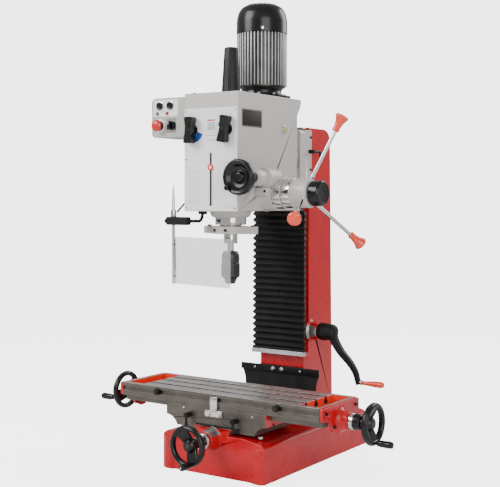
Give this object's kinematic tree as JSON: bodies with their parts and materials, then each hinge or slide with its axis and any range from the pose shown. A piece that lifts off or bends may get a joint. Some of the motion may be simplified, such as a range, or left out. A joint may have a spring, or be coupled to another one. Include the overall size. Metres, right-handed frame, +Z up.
{
  "type": "benchtop milling machine",
  "caption": "Geared-head mill-drill with cross slide, slotted table, dovetail column, lifting and tilting head, quill feed, chuck and guard.",
  "frame": {"origin": "centre of the base's footprint on the floor", "axes": "+Z up, +X along the table to the operator's right, -Y towards the operator"},
  "size_m": [1.151, 0.902, 1.59],
  "materials": {
    "red_enamel": "gloss enamel on cast iron",
    "grey_enamel": "satin enamel on cast iron",
    "plate_white": "white lacquered sheet",
    "ground_iron": "ground cast iron, oiled",
    "steel": "turned and ground",
    "motor_alloy": "cast, silver paint",
    "black_enamel": "gloss black enamel",
    "black_plastic": "moulded",
    "black_rubber": "matt",
    "orange_plastic": "moulded, gloss",
    "red_plastic": "moulded, gloss",
    "clear_sheet": "clear sheet"
  },
  "bodies": {
    "frame": {"base_casting": "red_enamel", "column_casting": "red_enamel", "way_cover_bellows": "black_rubber", "way_flap": "black_rubber"},
    "cross_slide": {"saddle_casting": "ground_iron"},
    "saddle_lock_left": {"saddle_lock_left": "black_enamel"},
    "saddle_lock_right": {"saddle_lock_right": "black_enamel"},
    "y_feed": {"y_screw": "steel", "y_handwheel": "black_plastic"},
    "y_grip": {"y_handle_grip": "black_plastic"},
    "table": {"table_casting": "ground_iron", "table_end_bracket_right": "red_enamel", "table_end_bracket_left": "red_enamel"},
    "x_feed": {"x_screw": "steel", "x_right_handwheel": "black_plastic", "x_left_handwheel": "black_plastic"},
    "x_right_grip": {"x_right_handle_grip": "black_plastic"},
    "x_left_grip": {"x_left_handle_grip": "black_plastic"},
    "stop_dog_left": {"stop_dog_left": "black_enamel"},
    "stop_dog_right": {"stop_dog_right": "black_enamel"},
    "lift_crank": {"crank_shaft": "steel", "crank_arm": "black_enamel"},
    "lift_grip": {"crank_grip": "orange_plastic"},
    "lift_screw": {"z_screw": "steel"},
    "head_carrier": {"head_carrier": "grey_enamel"},
    "column_lock": {"column_lock_lever": "black_enamel"},
    "head": {"head_casting": "grey_enamel", "head_front_plate": "plate_white", "motor_body": "motor_alloy", "motor_fan_cover": "black_enamel", "drawbar_cover": "black_plastic", "control_box": "grey_enamel", "guard_holder": "black_plastic", "guard_cable": "black_rubber"},
    "motor_rotor": {"motor_rotor": "steel"},
    "intermediate_gear": {"intermediate_gear": "steel"},
    "spindle_gear": {"spindle_gear": "steel"},
    "quill": {"quill": "steel", "quill_depth_ring": "grey_enamel"},
    "spindle": {"spindle": "steel", "drill_chuck": "black_enamel"},
    "quill_feed": {"pinion_shaft": "steel", "feed_hub": "grey_enamel", "feed_clutch_knob": "black_plastic", "feed_spoke_upper": "steel", "feed_knob_upper": "orange_plastic", "feed_spoke_rear": "steel", "feed_knob_rear": "orange_plastic", "feed_spoke_front": "steel", "feed_knob_front": "orange_plastic"},
    "fine_feed": {"fine_feed_wheel": "black_plastic"},
    "depth_pointer": {"depth_pointer": "red_plastic"},
    "speed_lever_left": {"speed_lever_left": "black_plastic"},
    "speed_lever_right": {"speed_lever_right": "black_plastic"},
    "start_button": {"start_button": "black_plastic"},
    "stop_button": {"stop_button": "black_plastic"},
    "emergency_stop": {"emergency_stop": "red_plastic"},
    "direction_selector": {"direction_selector": "black_plastic"},
    "guard": {"guard_rod": "steel", "guard_panel": "clear_sheet"}
  },
  "joints": [
    {"name": "cross_travel", "type": "slide", "parent": "frame", "child": "cross_slide", "axis": [0, 1, 0], "range_m": [-0.085, 0.085]},
    {"name": "cross_feed_turn", "type": "hinge", "parent": "frame", "child": "y_feed", "pos_m": [0, -0.484, 0.126], "axis": [0, 1, 0], "range_deg": [-6120, 6120]},
    {"name": "y_grip_spin", "type": "hinge", "parent": "y_feed", "child": "y_grip", "pos_m": [0.0262, -0.484, 0.0742], "axis": [0, 1, 0], "continuous": true},
    {"name": "saddle_lock_left_turn", "type": "hinge", "parent": "cross_slide", "child": "saddle_lock_left", "pos_m": [-0.1, -0.336, 0.19], "axis": [0, 1, 0], "range_deg": [-12, 50]},
    {"name": "saddle_lock_right_turn", "type": "hinge", "parent": "cross_slide", "child": "saddle_lock_right", "pos_m": [0.09, -0.336, 0.19], "axis": [0, 1, 0], "range_deg": [-50, 0]},
    {"name": "table_travel", "type": "slide", "parent": "cross_slide", "child": "table", "axis": [1, 0, 0], "range_m": [-0.19, 0.19]},
    {"name": "table_feed_turn", "type": "hinge", "parent": "table", "child": "x_feed", "pos_m": [0, -0.216, 0.216], "axis": [1, 0, 0], "range_deg": [-13680, 13680]},
    {"name": "x_right_grip_spin", "type": "hinge", "parent": "x_feed", "child": "x_right_grip", "pos_m": [0.525, -0.216, 0.158], "axis": [1, 0, 0], "continuous": true},
    {"name": "x_left_grip_spin", "type": "hinge", "parent": "x_feed", "child": "x_left_grip", "pos_m": [-0.486, -0.2696, 0.1939], "axis": [1, 0, 0], "continuous": true},
    {"name": "stop_dog_left_travel", "type": "slide", "parent": "table", "child": "stop_dog_left", "axis": [1, 0, 0], "range_m": [-0.1, 0.1]},
    {"name": "stop_dog_right_travel", "type": "slide", "parent": "table", "child": "stop_dog_right", "axis": [1, 0, 0], "range_m": [-0.1, 0.1]},
    {"name": "lift_crank_turn", "type": "hinge", "parent": "frame", "child": "lift_crank", "pos_m": [0, 0.134, 0.44], "axis": [1, 0, 0], "range_deg": [-24480, 0]},
    {"name": "lift_grip_spin", "type": "hinge", "parent": "lift_crank", "child": "lift_grip", "pos_m": [0.3, 0.134, 0.27], "axis": [1, 0, 0], "continuous": true},
    {"name": "lift_screw_turn", "type": "hinge", "parent": "frame", "child": "lift_screw", "pos_m": [0, 0.134, 0.44], "axis": [0, 0, 1], "continuous": true},
    {"name": "head_lift", "type": "slide", "parent": "frame", "child": "head_carrier", "axis": [0, 0, 1], "range_m": [-0.34, 0], "deforming": ["way_cover_bellows"]},
    {"name": "column_lock_turn", "type": "hinge", "parent": "head_carrier", "child": "column_lock", "pos_m": [0.11, 0.092, 1.082], "axis": [1, 0, 0], "range_deg": [-30, 40]},
    {"name": "head_tilt", "type": "hinge", "parent": "head_carrier", "child": "head", "pos_m": [0, 0.0045, 1.055], "axis": [0, 1, 0], "range_deg": [-45, 45]},
    {"name": "motor_turn", "type": "hinge", "parent": "head", "child": "motor_rotor", "pos_m": [0, -0.06, 1.3], "axis": [0, 0, 1], "continuous": true},
    {"name": "intermediate_gear_turn", "type": "hinge", "parent": "head", "child": "intermediate_gear", "pos_m": [0, -0.15, 1.13], "axis": [0, 0, 1], "continuous": true},
    {"name": "spindle_gear_turn", "type": "hinge", "parent": "head", "child": "spindle_gear", "pos_m": [0, -0.246, 1.11], "axis": [0, 0, 1], "continuous": true},
    {"name": "quill_travel", "type": "slide", "parent": "head", "child": "quill", "axis": [0, 0, -1], "range_m": [0, 0.12]},
    {"name": "spindle_turn", "type": "hinge", "parent": "quill", "child": "spindle", "pos_m": [0, -0.246, 0.8], "axis": [0, 0, 1], "continuous": true},
    {"name": "quill_feed_turn", "type": "hinge", "parent": "head", "child": "quill_feed", "pos_m": [0.25, -0.189, 0.936], "axis": [1, 0, 0], "range_deg": [0, 343.77]},
    {"name": "depth_pointer_travel", "type": "slide", "parent": "head", "child": "depth_pointer", "axis": [0, 0, -1], "range_m": [0, 0.12]},
    {"name": "fine_feed_turn", "type": "hinge", "parent": "head", "child": "fine_feed", "pos_m": [0.135, -0.38, 0.986], "axis": [0, 1, 0], "continuous": true},
    {"name": "speed_lever_left_turn", "type": "hinge", "parent": "head", "child": "speed_lever_left", "pos_m": [-0.07, -0.37, 1.142], "axis": [0, 1, 0], "range_deg": [-40, 40]},
    {"name": "speed_lever_right_turn", "type": "hinge", "parent": "head", "child": "speed_lever_right", "pos_m": [0.068, -0.37, 1.142], "axis": [0, 1, 0], "range_deg": [-40, 40]},
    {"name": "start_button_press", "type": "slide", "parent": "head", "child": "start_button", "axis": [0, 1, 0], "range_m": [0, 0.004], "stiffness_N_per_m": 400},
    {"name": "stop_button_press", "type": "slide", "parent": "head", "child": "stop_button", "axis": [0, 1, 0], "range_m": [0, 0.004], "stiffness_N_per_m": 400},
    {"name": "emergency_stop_press", "type": "slide", "parent": "head", "child": "emergency_stop", "axis": [0, 1, 0], "range_m": [0, 0.006]},
    {"name": "direction_selector_turn", "type": "hinge", "parent": "head", "child": "direction_selector", "pos_m": [-0.176, -0.342, 1.162], "axis": [0, 1, 0], "range_deg": [-45, 45]},
    {"name": "guard_swing", "type": "hinge", "parent": "head", "child": "guard", "pos_m": [-0.149, -0.366, 0.8], "axis": [0, 0, 1], "range_deg": [-98, 11]}
  ],
  "couplings": [
    {"joint": "cross_feed_turn", "follows": "cross_travel", "rad_per_m": 1256.6},
    {"joint": "table_feed_turn", "follows": "table_travel", "rad_per_m": 1256.6},
    {"joint": "lift_screw_turn", "follows": "head_lift", "rad_per_m": 1256.6},
    {"joint": "lift_crank_turn", "follows": "head_lift", "rad_per_m": 1256.6},
    {"joint": "intermediate_gear_turn", "follows": "motor_turn", "ratio": -0.38462},
    {"joint": "spindle_gear_turn", "follows": "motor_turn", "ratio": 0.17483},
    {"joint": "spindle_turn", "follows": "motor_turn", "ratio": 0.17483},
    {"joint": "quill_travel", "follows": "quill_feed_turn", "m_per_rad": 0.02},
    {"joint": "depth_pointer_travel", "follows": "quill_feed_turn", "m_per_rad": 0.02}
  ]
}
